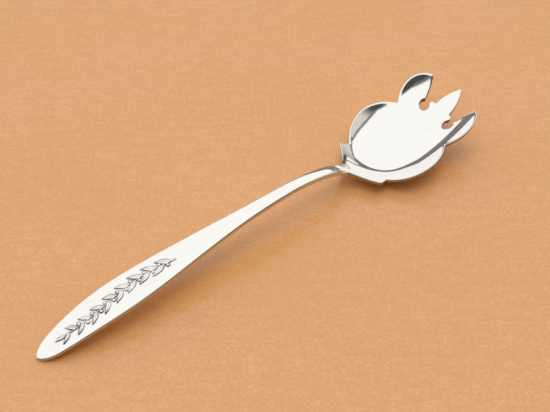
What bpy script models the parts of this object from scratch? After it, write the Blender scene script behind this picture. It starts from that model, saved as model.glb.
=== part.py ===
"""Ice cream spork in polished silver: a struck bowl with three tines, soldered to a forged handle.

The spork lies face up along X on the plane Z = 0, with its tines towards +X. Both silver pieces are flat
blanks that were given a thickness and then bent: a point of a blank is a plan position (x, y) and a share
of the local half thickness, from -1 at the underside to +1 at the face.
"""

import math

import bpy
import numpy as np
from mathutils import Matrix, Vector
from mathutils.geometry import delaunay_2d_cdt

MM = 0.001

# Lengths along the spork
HANDLE_LENGTH = 100.4 * MM  # handle tip to the middle of the solder seam
BOWL_LENGTH = 45.6 * MM  # middle of the solder seam to the tip of the middle tine
LENGTH = HANDLE_LENGTH + BOWL_LENGTH
TIP_X = -LENGTH / 2
SEAM_X = TIP_X + HANDLE_LENGTH
TINE_X = LENGTH / 2

# Solder seam: two flat faces across the neck, with a wafer of solder between them
SEAM_WIDTH = 0.3 * MM
SEAM_CLEARANCE = 0.05 * MM

# Handle outline as (distance, half width): the blade from the tip, the neck from the seam
NECK_HALF_WIDTH = 1.95 * MM
BLADE_HALF_WIDTH = 5.35 * MM
BLADE_OUTLINE = [
    (0.0, 0.0),
    (1.5 * MM, 1.9 * MM),
    (6.0 * MM, 3.6 * MM),
    (14.0 * MM, 4.75 * MM),
    (27.5 * MM, BLADE_HALF_WIDTH),
    (42.0 * MM, 4.45 * MM),
    (54.0 * MM, 3.35 * MM),
]
NECK_OUTLINE = [
    (34.0 * MM, 2.4 * MM),
    (22.0 * MM, 1.95 * MM),
    (12.0 * MM, 1.8 * MM),
    (0.0, NECK_HALF_WIDTH),
]

# Bend of the handle as (distance, height of the middle of the metal), from the tip and from the seam
SEAM_HEIGHT = 6.7 * MM
CREST_HEIGHT = 11.7 * MM
BLADE_BEND = [
    (0.0, 0.43 * MM),
    (4.0 * MM, 1.8 * MM),
    (10.0 * MM, 3.75 * MM),
    (18.0 * MM, 5.75 * MM),
    (30.0 * MM, 7.45 * MM),
    (46.0 * MM, 9.3 * MM),
    (60.0 * MM, 10.75 * MM),
]
NECK_BEND = [
    (22.5 * MM, CREST_HEIGHT),
    (13.5 * MM, 11.35 * MM),
    (6.5 * MM, 9.9 * MM),
    (3.3 * MM, 8.75 * MM),
    (0.0, SEAM_HEIGHT),
]

# Half thicknesses of the handle: at the edge, and what the crowned middle adds
TIP_EDGE, BLADE_EDGE, NECK_EDGE = 0.5 * MM, 0.6 * MM, 0.8 * MM
TIP_CROWN, BLADE_CROWN, NECK_CROWN = 0.1 * MM, 0.32 * MM, 0.4 * MM
THICKNESS_STATIONS = (0.0, 26.0 * MM, 85.0 * MM)  # distances from the tip of the sizes above

# Bowl: a dish, lowest near DISH_X, with a flat under its lowest point to rest on
SEAM_TO_DISH = 13.5 * MM
DISH_X = SEAM_X + SEAM_TO_DISH
SHEET_THICKNESS = 1.25 * MM
DISH_LENGTH_RADIUS = 42.6 * MM  # along the spork, ahead of DISH_X
DISH_SIDE_RADIUS = 16.0 * MM  # of the sides and the rear wall, at the bottom of the dish
DISH_SIDE_SLOPE = 1.25  # slope that the sides and the rear wall tend to, far up
REAR_START = 1.5 * MM  # ahead of DISH_X, from where the rear wall rises round to the neck
REAR_SOFTNESS = 1.5 * MM  # length over which the trough's two ends set in
FLAT_DEPTH = 0.26 * MM  # how far the round underside would reach below the flat

# Root of the bowl, where the neck's line runs down into the rear wall
ROOT_LENGTH = 5.0 * MM  # over which the neck widens into the rear wall and thins at its edges
DROP_LENGTH = 6.0 * MM  # of the tongue that thickens the bowl behind the neck
DROP_SPREAD = 1.6 * MM

# Bowl outline: distances along X from DISH_X, and half widths
EAR_TIP = (-6.6 * MM, 9.9 * MM)
EAR_STEP_X = -3.6 * MM
FLARE_LENGTHS = (2.9 * MM, 5.4 * MM)  # handles of the curve from the neck, and back from the ear's tip
FLARE_ANGLE = math.radians(62)  # of the ear's rear edge, from the spork's axis
ROUND_X = 6.9 * MM
ROUND_HALF_WIDTH = 15.05 * MM
ROUND_REAR, ROUND_FRONT = 13.0 * MM, 14.3 * MM  # half lengths of the round part's two half ellipses
NOTCH_X = 16.8 * MM
TINE_TIP = (29.3 * MM, 9.35 * MM)
TINE_BULGE = 3.35 * MM  # height of the outer edge's arc over its chord
TINE_INNER_BULGE = 0.3 * MM
SLOT_CENTRE = (22.7 * MM, 5.15 * MM)
SLOT_RADIUS = 1.45 * MM
SLOT_LIP_ANGLE = math.radians(42)  # where the slot's round end meets the outer tine
BARB_TIP = (25.0 * MM, 4.35 * MM)
BARB_ROOT_ANGLE = math.radians(-25)  # where the slot's round end meets the barb
MIDDLE_BASE_X = 25.35 * MM
MIDDLE_HALF_WIDTH = 3.0 * MM
MIDDLE_TIP_RADIUS = 0.55 * MM
CORNER, SMALL_CORNER = 0.7 * MM, 0.35 * MM

# Fineness of the faces
DENSE_STEP = 0.03 * MM
EDGE_STEP, EDGE_TURN = 1.1 * MM, math.radians(24)
FACE_STEP = 1.6 * MM
RIM_STRIPS = 4
SOLDER_SIDES = 32

EDGE_SQUARENESS = 4.0  # 2 rounds the metal's edge as a circle does, more leaves its side flatter

SILVER = {"color": (0.93, 0.92, 0.9, 1.0), "roughness": 0.08}
SOLDER = {"color": (0.86, 0.84, 0.78, 1.0), "roughness": 0.22}


def smoothstep(value):
    """0 below 0, 1 above 1, and smooth between."""
    share = np.clip(value, 0.0, 1.0)
    return share * share * (3.0 - 2.0 * share)


def spline(knots, values, at):
    """Natural cubic spline through (knots, values), read at the places in at."""
    knots, values = np.asarray(knots, float), np.asarray(values, float)
    gaps = np.diff(knots)
    slopes = np.diff(values) / gaps
    system = np.eye(len(knots))
    right = np.zeros(len(knots))
    for i in range(1, len(knots) - 1):
        system[i, i - 1 : i + 2] = gaps[i - 1], 2 * (gaps[i - 1] + gaps[i]), gaps[i]
        right[i] = 6 * (slopes[i] - slopes[i - 1])
    bends = np.linalg.solve(system, right)
    at = np.asarray(at, float)
    i = np.clip(np.searchsorted(knots, at) - 1, 0, len(gaps) - 1)
    a, b, gap = knots[i + 1] - at, at - knots[i], gaps[i]
    return (
        (bends[i] * a**3 + bends[i + 1] * b**3) / (6 * gap)
        + (values[i] / gap - bends[i] * gap / 6) * a
        + (values[i + 1] / gap - bends[i + 1] * gap / 6) * b
    )


def placed_along_handle(from_tip, from_seam):
    """(x, value) rows of two lists, the first measured from the handle's tip, the second from the seam."""
    return [(TIP_X + d, v) for d, v in from_tip] + [(SEAM_X - d, v) for d, v in from_seam]


def handle_edge():
    """Dense half outline of the handle, from the seam to the tip, on the +Y side."""
    side = placed_along_handle(BLADE_OUTLINE, NECK_OUTLINE)
    both = np.array([(x, -y) for x, y in reversed(side[1:])] + side)
    lengths = np.concatenate([[0.0], np.cumsum(np.hypot(*np.diff(both, axis=0).T))])
    middle = lengths[len(side) - 1]
    at = np.linspace(lengths[-1], middle, int((lengths[-1] - middle) / DENSE_STEP))
    return np.stack([spline(lengths, both[:, 0], at), spline(lengths, both[:, 1], at)], axis=1)


def line_points(start, end):
    start, end = np.array(start), np.array(end)
    count = max(2, int(np.hypot(*(end - start)) / DENSE_STEP))
    return start + np.linspace(0.0, 1.0, count)[:, None] * (end - start)


def arc_points(centre, radii, start, end):
    """Points of an ellipse's arc between two angles."""
    count = max(2, int(abs(end - start) * max(radii) / DENSE_STEP))
    angles = np.linspace(start, end, count)
    return np.stack([centre[0] + radii[0] * np.cos(angles), centre[1] + radii[1] * np.sin(angles)], axis=1)


def bulged_points(start, end, bulge):
    """Arc from start to end that rises by bulge to the left of its chord."""
    start, end = np.array(start), np.array(end)
    chord = end - start
    length = np.hypot(*chord)
    left = np.array([-chord[1], chord[0]]) / length
    radius = length**2 / (8 * bulge) + bulge / 2
    centre = (start + end) / 2 + left * (bulge - radius)
    first, last = (math.atan2(*(point - centre)[::-1]) for point in (start, end))
    turn = (last - first + math.pi) % (2 * math.pi) - math.pi
    return arc_points(centre, (radius, radius), first, first + turn)


def bezier_points(p0, p1, p2, p3):
    corners = np.array([p0, p1, p2, p3])
    count = max(2, int(np.hypot(*(corners[3] - corners[0])) * 1.5 / DENSE_STEP))
    t = np.linspace(0.0, 1.0, count)[:, None]
    weights = ((1 - t) ** 3, 3 * t * (1 - t) ** 2, 3 * t**2 * (1 - t), t**3)
    return sum(weight * corner for weight, corner in zip(weights, corners))


def trimmed(points, from_start, from_end):
    """The polyline without a length at each end."""
    steps = np.hypot(*np.diff(points, axis=0).T)
    at = np.concatenate([[0.0], np.cumsum(steps)])
    return points[(at >= from_start) & (at <= at[-1] - from_end)]


def joined(curves, corners):
    """Curves end to end, with corners[i] cut off both sides of the corner after curve i and rounded."""
    path = [trimmed(curves[0], 0.0, corners[0])]
    for i, curve in enumerate(curves[1:]):
        following = corners[i + 1] if i + 1 < len(corners) else 0.0
        after = trimmed(curve, corners[i], following)
        before, corner = path[-1][-1], curve[0]
        if corners[i] > 0:
            count = max(3, int(2 * corners[i] / DENSE_STEP))
            t = np.linspace(0.0, 1.0, count)[1:-1, None]
            path.append((1 - t) ** 2 * before + 2 * t * (1 - t) * corner + t**2 * after[0])
        path.append(after if corners[i] > 0 else after[1:])
    return np.concatenate(path)


def on_round(x):
    """Half width of the bowl's round part at x, measured from DISH_X."""
    reach = ROUND_REAR if x < ROUND_X else ROUND_FRONT
    return ROUND_HALF_WIDTH * math.sqrt(1 - ((x - ROUND_X) / reach) ** 2)


def round_edge():
    """The round part's edge from the ear's step to the notch behind the outer tine."""
    rear = math.acos((EAR_STEP_X - ROUND_X) / ROUND_REAR)
    front = math.acos((NOTCH_X - ROUND_X) / ROUND_FRONT)
    centre = (ROUND_X, 0.0)
    behind = arc_points(centre, (ROUND_REAR, ROUND_HALF_WIDTH), rear, math.pi / 2)
    ahead = arc_points(centre, (ROUND_FRONT, ROUND_HALF_WIDTH), math.pi / 2, front)
    return np.concatenate([behind, ahead[1:]])


def middle_tine_edge():
    """Pointed arch of the middle tine: an arc from its base, then the round tip."""
    tip = TINE_X - DISH_X
    reach = tip - MIDDLE_TIP_RADIUS - MIDDLE_BASE_X
    width, nose = MIDDLE_HALF_WIDTH, MIDDLE_TIP_RADIUS
    radius = (reach**2 + width**2 - nose**2) / (2 * (width - nose))
    centre = (MIDDLE_BASE_X, width - radius)
    turn = math.atan2(radius - width, reach)
    side = arc_points(centre, (radius, radius), math.pi / 2, turn)
    return np.concatenate([side, arc_points((tip - nose, 0.0), (nose, nose), turn, 0.0)[1:]])


def on_slot(angle):
    return (
        SLOT_CENTRE[0] + SLOT_RADIUS * math.cos(angle),
        SLOT_CENTRE[1] + SLOT_RADIUS * math.sin(angle),
    )


def bowl_edge():
    """Dense half outline of the bowl, from the seam to the middle tine's tip, on the +Y side."""
    neck = (SEAM_X - DISH_X, NECK_HALF_WIDTH)
    neck_pull, ear_pull = FLARE_LENGTHS
    back = (EAR_TIP[0] - ear_pull * math.cos(FLARE_ANGLE), EAR_TIP[1] - ear_pull * math.sin(FLARE_ANGLE))
    step, notch = (EAR_STEP_X, on_round(EAR_STEP_X)), (NOTCH_X, on_round(NOTCH_X))
    lip, barb_root = on_slot(SLOT_LIP_ANGLE), on_slot(BARB_ROOT_ANGLE)
    barb_foot = (MIDDLE_BASE_X, MIDDLE_HALF_WIDTH)
    curves = [
        bezier_points(neck, (neck[0] + neck_pull, neck[1]), back, EAR_TIP),
        line_points(EAR_TIP, step),
        round_edge(),
        bulged_points(notch, TINE_TIP, TINE_BULGE),
        bulged_points(TINE_TIP, lip, TINE_INNER_BULGE),
        arc_points(SLOT_CENTRE, (SLOT_RADIUS, SLOT_RADIUS), SLOT_LIP_ANGLE, BARB_ROOT_ANGLE + 2 * math.pi),
        line_points(barb_root, BARB_TIP),
        line_points(BARB_TIP, barb_foot),
        middle_tine_edge(),
    ]
    corners = [SMALL_CORNER] * (len(curves) - 1)
    corners[0] = corners[3] = CORNER  # the tips of the ear and of the outer tine
    return joined(curves, corners) + [DISH_X, 0.0]


def thinned(points, step, turn):
    """Fewer points: one wherever the path has run on by step or turned by turn since the last."""
    directions = np.unwrap(np.arctan2(*np.diff(points, axis=0).T[::-1]))
    lengths = np.hypot(*np.diff(points, axis=0).T)
    kept, run, swing = [0], 0.0, 0.0
    for i in range(1, len(points) - 1):
        run += lengths[i - 1]
        swing += abs(directions[i] - directions[i - 1])
        if run >= step or swing >= turn:
            kept.append(i)
            run, swing = 0.0, 0.0
    if run + lengths[-1] < step / 3 and len(kept) > 1:
        kept.pop()
    return points[kept + [len(points) - 1]]


HANDLE_EDGE = handle_edge()
BOWL_EDGE = bowl_edge()


def softly_above(value, softness):
    """The value where it is above 0, and 0 below, with a soft bend between."""
    return softness * np.logaddexp(0.0, value / softness)


def dish_height(x, y):
    """Height of the middle of the metal in the bowl's dish: a trough that is closed by a round rear wall."""
    behind = softly_above(DISH_X + REAR_START - x, REAR_SOFTNESS)
    ahead = softly_above(x - DISH_X, REAR_SOFTNESS)
    scale = DISH_SIDE_RADIUS * DISH_SIDE_SLOPE
    run = np.hypot(y, behind) / scale
    wall = scale * DISH_SIDE_SLOPE * (np.sqrt(1 + run**2) - 1)
    return SHEET_THICKNESS / 2 - FLAT_DEPTH + ahead**2 / (2 * DISH_LENGTH_RADIUS) + wall


def neck_line(x):
    """Height of the middle of the metal along the handle, and on down the middle of the rear wall."""
    rows = placed_along_handle(BLADE_BEND, NECK_BEND)
    for share in (0.5, 1.0):
        past = SEAM_X + share * ROOT_LENGTH
        rows.append((past, dish_height(past, 0.0)))
    rows = np.array(rows)
    return spline(rows[:, 0], rows[:, 1], np.minimum(x, rows[-1, 0]))


def mid_height(x, y):
    """Height of the middle of the metal: the handle's line, which widens into the dish past the seam."""
    line = neck_line(x)
    return line + smoothstep((x - SEAM_X) / ROOT_LENGTH) * (dish_height(x, y) - line)


def edge_thickness(x):
    """Half thickness of the metal along its edge, which is also how far the rounded edge reaches in."""
    from_tip = np.minimum(x - TIP_X, THICKNESS_STATIONS[-1])
    handle = spline(THICKNESS_STATIONS, (TIP_EDGE, BLADE_EDGE, NECK_EDGE), from_tip)
    fade = 1 - smoothstep((x - SEAM_X) / ROOT_LENGTH)
    return np.where(x < SEAM_X, handle, SHEET_THICKNESS / 2 + (NECK_EDGE - SHEET_THICKNESS / 2) * fade)


def half_thickness(x, y):
    """Half thickness of the metal: its edge's, and a crown that fades out along the drop in the bowl."""
    from_tip = np.minimum(x - TIP_X, THICKNESS_STATIONS[-1])
    share = np.clip((x - SEAM_X) / DROP_LENGTH, 0.0, 1.0)
    on_handle = spline(THICKNESS_STATIONS, (TIP_CROWN, BLADE_CROWN, NECK_CROWN), from_tip)
    crown = np.where(x < SEAM_X, on_handle, NECK_CROWN * (1 - smoothstep(share)))
    from_tip_edge = HANDLE_EDGE[::-1]
    outline = np.interp(x, from_tip_edge[:, 0], from_tip_edge[:, 1])
    width = np.where(x < SEAM_X, np.maximum(outline, MM / 100), NECK_HALF_WIDTH + DROP_SPREAD * share)
    return edge_thickness(x) + crown * np.clip(1 - (y / width) ** 2, 0.0, 1.0) ** (1 + share)


def formed(plan, through):
    """Bent place of the blank's points: plan holds (x, y), through runs from -1, underneath, to +1."""
    x, y = plan[:, 0], plan[:, 1]
    height = mid_height(x, y) + through * half_thickness(x, y)
    return np.column_stack([x, y, np.maximum(height, 0.0)])


def inward(path):
    """Unit normals to the left of an open path, square to the spork at its two ends on the seam."""
    ahead = np.gradient(path, axis=0)
    ahead[[0, -1], 1] = 0.0
    left = np.column_stack([-ahead[:, 1], ahead[:, 0]])
    return left / np.hypot(*left.T)[:, None]


def inset_path(path):
    """The path moved inwards by the edge's reach, by less where a tight corner leaves no room for it."""
    normals = inward(path)
    reach = edge_thickness(path[:, 0])
    steps = np.diff(path, axis=0)
    while True:
        moved = path + normals * reach[:, None]
        tight = (np.diff(moved, axis=0) * steps).sum(axis=1) < 0.3 * (steps**2).sum(axis=1)
        if not tight.any():
            return moved
        reach[:-1][tight] *= 0.85
        reach[1:][tight] *= 0.85


def inside(points, polygon):
    """Which points lie inside a closed polygon."""
    found = np.zeros(len(points), bool)
    for (x0, y0), (x1, y1) in zip(polygon, np.roll(polygon, -1, axis=0)):
        if y0 != y1:
            crosses = (y0 > points[:, 1]) != (y1 > points[:, 1])
            found ^= crosses & (points[:, 0] < x0 + (points[:, 1] - y0) * (x1 - x0) / (y1 - y0))
    return found


def distance_to(points, polygon):
    """Distance of each point from the nearest side of a closed polygon."""
    nearest = np.full(len(points), np.inf)
    for start, end in zip(polygon, np.roll(polygon, -1, axis=0)):
        side = end - start
        share = np.clip((points - start) @ side / (side @ side), 0.0, 1.0)
        nearest = np.minimum(nearest, np.hypot(*(points - start - share[:, None] * side).T))
    return nearest


def face_points(polygon):
    """Triangular grid of points inside the polygon, clear of its sides."""
    low, high = polygon.min(axis=0), polygon.max(axis=0)
    row_step = FACE_STEP * math.sqrt(3) / 2
    half_rows = int(high[1] / row_step) + 1
    rows = []
    for i in range(-half_rows, half_rows + 1):
        xs = np.arange(low[0] + (i % 2) * FACE_STEP / 2, high[0], FACE_STEP)
        rows.append(np.column_stack([xs, np.full(len(xs), i * row_step)]))
    grid = np.concatenate(rows)
    grid = grid[inside(grid, polygon)]
    return grid[distance_to(grid, polygon) > 0.5 * FACE_STEP]


def triangulated(polygon):
    """(points, triangles) of the polygon's inside; the polygon's own points come first, in order."""
    points = np.concatenate([polygon, face_points(polygon)])
    count = len(polygon)
    edges = [(i, (i + 1) % count) for i in range(count)]
    flat = [Vector(point / MM) for point in points]
    _, _, triangles, origins, _, _ = delaunay_2d_cdt(flat, edges, [], 1, 1e-6)
    source = [found[0] for found in origins]
    return points, [[source[i] for i in triangle] for triangle in triangles]


def edge_profile(angle):
    """(outwards, upwards) shares of the rounded edge at an angle above its middle."""
    power = 2.0 / EDGE_SQUARENESS
    out, up = np.cos(angle), np.sin(angle)
    return np.sign(out) * np.abs(out) ** power, np.sign(up) * np.abs(up) ** power


def blank_mesh(name, path):
    """Closed mesh of a blank whose edge follows an open path, counter-clockwise, cut flat at the seam."""
    inner = inset_path(path)
    plan, triangles = triangulated(inner)
    count = len(path)
    points = [formed(plan, np.ones(len(plan))), formed(plan, -np.ones(len(plan)))]
    lower = len(plan)
    faces = [list(triangle) for triangle in triangles]
    faces += [[lower + i for i in reversed(triangle)] for triangle in triangles]
    rings = [list(range(count))]
    start = 2 * len(plan)
    for strip in range(1, RIM_STRIPS):
        out, up = edge_profile(math.pi / 2 - math.pi * strip / RIM_STRIPS)
        points.append(formed(inner + (path - inner) * out, np.full(count, up)))
        rings.append(list(range(start, start + count)))
        start += count
    rings.append(list(range(lower, lower + count)))
    for upper_ring, lower_ring in zip(rings, rings[1:]):
        for i in range(count - 1):
            faces.append([upper_ring[i], lower_ring[i], lower_ring[i + 1], upper_ring[i + 1]])
    faces.append([ring[0] for ring in rings][::-1] + [ring[-1] for ring in rings])
    mesh = bpy.data.meshes.new(name)
    mesh.from_pydata(np.concatenate(points).tolist(), [], faces)
    mesh.validate()
    return mesh


def material(name, look):
    made = bpy.data.materials.new(name)
    made.use_nodes = True
    shader = made.node_tree.nodes["Principled BSDF"]
    shader.inputs["Base Color"].default_value = look["color"]
    shader.inputs["Metallic"].default_value = 1.0
    shader.inputs["Roughness"].default_value = look["roughness"]
    return made


def add_piece(mesh, origin, finish, parent):
    """Object of the mesh, with its own origin at the point given."""
    piece = bpy.data.objects.new(mesh.name, mesh)
    mesh.transform(Matrix.Translation(-Vector(origin)))
    mesh.materials.append(finish)
    mesh.shade_smooth()
    mesh.set_sharp_from_angle(angle=math.radians(50))
    piece.location = origin
    piece.parent = parent
    bpy.context.scene.collection.objects.link(piece)
    return piece


def mirrored_path(half):
    """Open path from a half outline that ends on the axis: out along its mirror image and back on itself."""
    return np.concatenate([half * [1, -1], half[-2::-1]])


def cut_at(half, x):
    """The half outline with its end on the seam moved to x."""
    moved = half.copy()
    moved[0, 0] = x
    return moved


def handle_mesh():
    half = cut_at(thinned(HANDLE_EDGE, EDGE_STEP, EDGE_TURN), SEAM_X - SEAM_WIDTH / 2)
    return blank_mesh("handle", mirrored_path(half)[::-1])


def bowl_mesh():
    half = cut_at(thinned(BOWL_EDGE, EDGE_STEP, EDGE_TURN), SEAM_X + SEAM_WIDTH / 2)
    return blank_mesh("bowl", mirrored_path(half))


def solder_mesh():
    """Wafer of the neck's own section that fills the seam."""
    reach = SEAM_WIDTH / 2 - SEAM_CLEARANCE
    count = SOLDER_SIDES
    angles = np.linspace(0.0, 2 * math.pi, count, endpoint=False)
    edge = edge_thickness(SEAM_X)
    flat = NECK_HALF_WIDTH - edge
    out, through = edge_profile(angles)
    y = flat * np.sign(np.cos(angles)) * np.abs(np.cos(angles)) ** 0.5 + edge * out
    rings = [formed(np.column_stack([np.full(count, SEAM_X + x), y]), through) for x in (-reach, reach)]
    faces = [list(range(count))[::-1], list(range(count, 2 * count))]
    for i in range(count):
        following = (i + 1) % count
        faces.append([i, following, count + following, count + i])
    mesh = bpy.data.meshes.new("solder_seam")
    mesh.from_pydata(np.concatenate(rings).tolist(), [], faces)
    return mesh


def build():
    for old in list(bpy.data.objects):
        bpy.data.objects.remove(old)
    spork = bpy.data.objects.new("spork", None)
    bpy.context.scene.collection.objects.link(spork)
    silver, solder = material("silver", SILVER), material("silver_solder", SOLDER)
    neck = (SEAM_X, 0.0, SEAM_HEIGHT)
    add_piece(handle_mesh(), neck, silver, spork)
    add_piece(solder_mesh(), neck, solder, spork)
    add_piece(bowl_mesh(), (DISH_X, 0.0, 0.0), silver, spork)


build()
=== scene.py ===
"""Looks of the ice cream spork: polished silver on a pale warm table, under a large soft panel of light.

The handle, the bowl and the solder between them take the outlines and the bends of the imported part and
sample them far more finely, so that a mirror polish shows no facets. The end of the handle carries a leafy
sprig in low relief, with darkened recesses.
"""

import math
from collections import namedtuple
from functools import reduce

import bpy
import numpy as np
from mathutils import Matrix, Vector
from mathutils.geometry import delaunay_2d_cdt


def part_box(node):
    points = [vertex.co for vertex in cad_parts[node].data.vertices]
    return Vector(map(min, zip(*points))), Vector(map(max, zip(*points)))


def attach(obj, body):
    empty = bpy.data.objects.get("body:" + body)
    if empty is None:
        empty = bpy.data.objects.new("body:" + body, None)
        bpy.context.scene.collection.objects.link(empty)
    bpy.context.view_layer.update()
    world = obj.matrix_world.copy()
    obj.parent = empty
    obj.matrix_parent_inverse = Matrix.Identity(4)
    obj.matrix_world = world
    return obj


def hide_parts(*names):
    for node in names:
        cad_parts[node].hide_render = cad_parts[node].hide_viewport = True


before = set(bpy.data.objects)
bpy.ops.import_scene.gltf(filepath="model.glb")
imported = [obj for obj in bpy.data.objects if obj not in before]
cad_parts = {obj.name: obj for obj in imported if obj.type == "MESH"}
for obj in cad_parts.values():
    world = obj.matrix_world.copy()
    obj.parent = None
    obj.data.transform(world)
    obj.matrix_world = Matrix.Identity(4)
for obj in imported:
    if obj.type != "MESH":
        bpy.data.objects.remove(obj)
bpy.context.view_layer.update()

MM = 0.001

seam_low, seam_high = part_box("solder_seam")

# Places along the spork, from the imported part
TIP_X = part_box("handle")[0].x
TINE_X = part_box("bowl")[1].x
SEAM_X = (seam_low.x + seam_high.x) / 2
SEAM_WIDTH = 2 * (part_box("bowl")[0].x - SEAM_X)

# Handle outline as (distance, half width): the blade from the tip, the neck from the seam
NECK_HALF_WIDTH = 1.95 * MM
BLADE_HALF_WIDTH = 5.35 * MM
BLADE_OUTLINE = [
    (0.0, 0.0),
    (1.5 * MM, 1.9 * MM),
    (6.0 * MM, 3.6 * MM),
    (14.0 * MM, 4.75 * MM),
    (27.5 * MM, BLADE_HALF_WIDTH),
    (42.0 * MM, 4.45 * MM),
    (54.0 * MM, 3.35 * MM),
]
NECK_OUTLINE = [
    (34.0 * MM, 2.4 * MM),
    (22.0 * MM, 1.95 * MM),
    (12.0 * MM, 1.8 * MM),
    (0.0, NECK_HALF_WIDTH),
]

# Bend of the handle as (distance, height of the middle of the metal), from the tip and from the seam
SEAM_HEIGHT = 6.7 * MM
CREST_HEIGHT = 11.7 * MM
BLADE_BEND = [
    (0.0, 0.43 * MM),
    (4.0 * MM, 1.8 * MM),
    (10.0 * MM, 3.75 * MM),
    (18.0 * MM, 5.75 * MM),
    (30.0 * MM, 7.45 * MM),
    (46.0 * MM, 9.3 * MM),
    (60.0 * MM, 10.75 * MM),
]
NECK_BEND = [
    (22.5 * MM, CREST_HEIGHT),
    (13.5 * MM, 11.35 * MM),
    (6.5 * MM, 9.9 * MM),
    (3.3 * MM, 8.75 * MM),
    (0.0, SEAM_HEIGHT),
]

# Half thicknesses of the handle: at the edge, and what the crowned middle adds
TIP_EDGE, BLADE_EDGE, NECK_EDGE = 0.5 * MM, 0.6 * MM, 0.8 * MM
TIP_CROWN, BLADE_CROWN, NECK_CROWN = 0.1 * MM, 0.32 * MM, 0.4 * MM
THICKNESS_STATIONS = (0.0, 26.0 * MM, 85.0 * MM)  # distances from the tip of the sizes above
LEAST_HALF_WIDTH = 0.01 * MM  # that the crown is measured against, at the very tip

# Bowl: a dish, lowest near DISH_X, with a flat under its lowest point to rest on
SEAM_TO_DISH = 13.5 * MM
DISH_X = SEAM_X + SEAM_TO_DISH
SHEET_THICKNESS = 1.25 * MM
DISH_LENGTH_RADIUS = 42.6 * MM  # along the spork, ahead of DISH_X
DISH_SIDE_RADIUS = 16.0 * MM  # of the sides and the rear wall, at the bottom of the dish
DISH_SIDE_SLOPE = 1.25  # slope that the sides and the rear wall tend to, far up
REAR_START = 1.5 * MM  # ahead of DISH_X, from where the rear wall rises round to the neck
REAR_SOFTNESS = 1.5 * MM  # length over which the trough's two ends set in
FLAT_DEPTH = 0.26 * MM  # how far the round underside would reach below the flat

# Root of the bowl, where the neck's line runs down into the rear wall
ROOT_LENGTH = 5.0 * MM  # over which the neck widens into the rear wall and thins at its edges
ROOT_STATIONS = (0.5, 1.0)  # shares of that length where the neck's line follows the rear wall
DROP_LENGTH = 6.0 * MM  # of the tongue that thickens the bowl behind the neck
DROP_SPREAD = 1.6 * MM

# Bowl outline: distances along X from DISH_X, and half widths
EAR_TIP = (-6.6 * MM, 9.9 * MM)
EAR_STEP_X = -3.6 * MM
FLARE_LENGTHS = (2.9 * MM, 5.4 * MM)  # handles of the curve from the neck, and back from the ear's tip
FLARE_ANGLE = math.radians(62)  # of the ear's rear edge, from the spork's axis
ROUND_X = 6.9 * MM
ROUND_HALF_WIDTH = 15.05 * MM
ROUND_REAR, ROUND_FRONT = 13.0 * MM, 14.3 * MM  # half lengths of the round part's two half ellipses
NOTCH_X = 16.8 * MM
TINE_TIP = (29.3 * MM, 9.35 * MM)
TINE_BULGE = 3.35 * MM  # height of the outer edge's arc over its chord
TINE_INNER_BULGE = 0.3 * MM
SLOT_CENTRE = (22.7 * MM, 5.15 * MM)
SLOT_RADIUS = 1.45 * MM
SLOT_LIP_ANGLE = math.radians(42)  # where the slot's round end meets the outer tine
BARB_TIP = (25.0 * MM, 4.35 * MM)
BARB_ROOT_ANGLE = math.radians(-25)  # where the slot's round end meets the barb
MIDDLE_BASE_X = 25.35 * MM
MIDDLE_HALF_WIDTH = 3.0 * MM
MIDDLE_TIP_RADIUS = 0.55 * MM
CORNER, SMALL_CORNER = 0.7 * MM, 0.35 * MM

# Fineness of the faces, and the rounding of the edges
DENSE_STEP = 0.02 * MM
EDGE_STEP, EDGE_TURN = 0.35 * MM, math.radians(8)
FACE_STEP = 0.5 * MM
SPRIG_STEP = 0.12 * MM
SEAM_STEP = 0.2 * MM
RIM_STRIPS = 12
SHARP_ANGLE = math.radians(50)  # between faces that are not shaded as one surface
CURVE_OVER_CHORD = 1.5  # most that a Bezier curve here is longer than its chord
TINY = 1e-9  # in place of a length of zero
MERGE_DISTANCE = 1e-6  # of points in the triangulation, in mm
EDGE_SQUARENESS = 4.0  # 2 rounds the edge as a circle does, more leaves its side flatter
ROOM_SHARE = 0.8  # of the largest circle that fits inside the edge, which the rounded edge may take
REACH_SLOPE = 0.35  # most that the rounded edge's reach changes per length along the edge

# Sprig: distances from the handle's tip, and sideways
SPRIG_START, SPRIG_END = 43.0 * MM, 9.0 * MM
SPRIG_SWAY = 0.85 * MM  # of the stem's one wave sideways
SWAY_START = 0.08  # share of the stem at which the wave starts
SPRIG_MARGIN, SPRIG_HALF_WIDTH = 1.2 * MM, 3.6 * MM  # of the fine faces round the sprig
STEM_HALF_WIDTH = 0.17 * MM
STEM_POINTS = 120
STEM_STEP, END_STEP = 0.01, 0.03  # shares of the stem that give its direction, along it and at its end
LEAF_PAIRS = 8
LEAF_LENGTHS = (4.6 * MM, 3.0 * MM)  # at the start of the sprig and at its end
LEAF_SLENDERNESS = 0.15  # half width over length
LEAF_FULLNESS = 0.8  # 1 puts the leaf's widest place at its middle, less moves it to its base
LEAF_ANGLES = (math.radians(24), math.radians(38))
BERRY_COUNT = 2 * LEAF_PAIRS - 2  # none beside the last two leaves
BERRY_RADIUS = 0.42 * MM
BERRY_OFFSET = 0.62 * MM  # of its middle from the stem
BERRY_LAG = 0.6  # steps from leaf to leaf, by which a berry follows its leaf

# Relief of the sprig, and shares of the darkest tone in its recesses
RELIEF_HEIGHT = 0.13 * MM
STEM_RELIEF, BERRY_RELIEF = 0.7, 1.2  # shares of the leaves' height
RECESS_WIDTH, RECESS_DEPTH = 0.5 * MM, 0.11 * MM
RECESS_LIP = 0.1 * MM  # that the darkness reaches up the raised edges
VEIN_WIDTH, VEIN_DEPTH = 0.09 * MM, 0.05 * MM
VEIN_SETS_IN, VEIN_FADES = 6.0, 4.0  # one over the shares of the leaf, from its base and to its tip
LIP_DARKNESS, VEIN_DARKNESS = 0.6, 0.8

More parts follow.
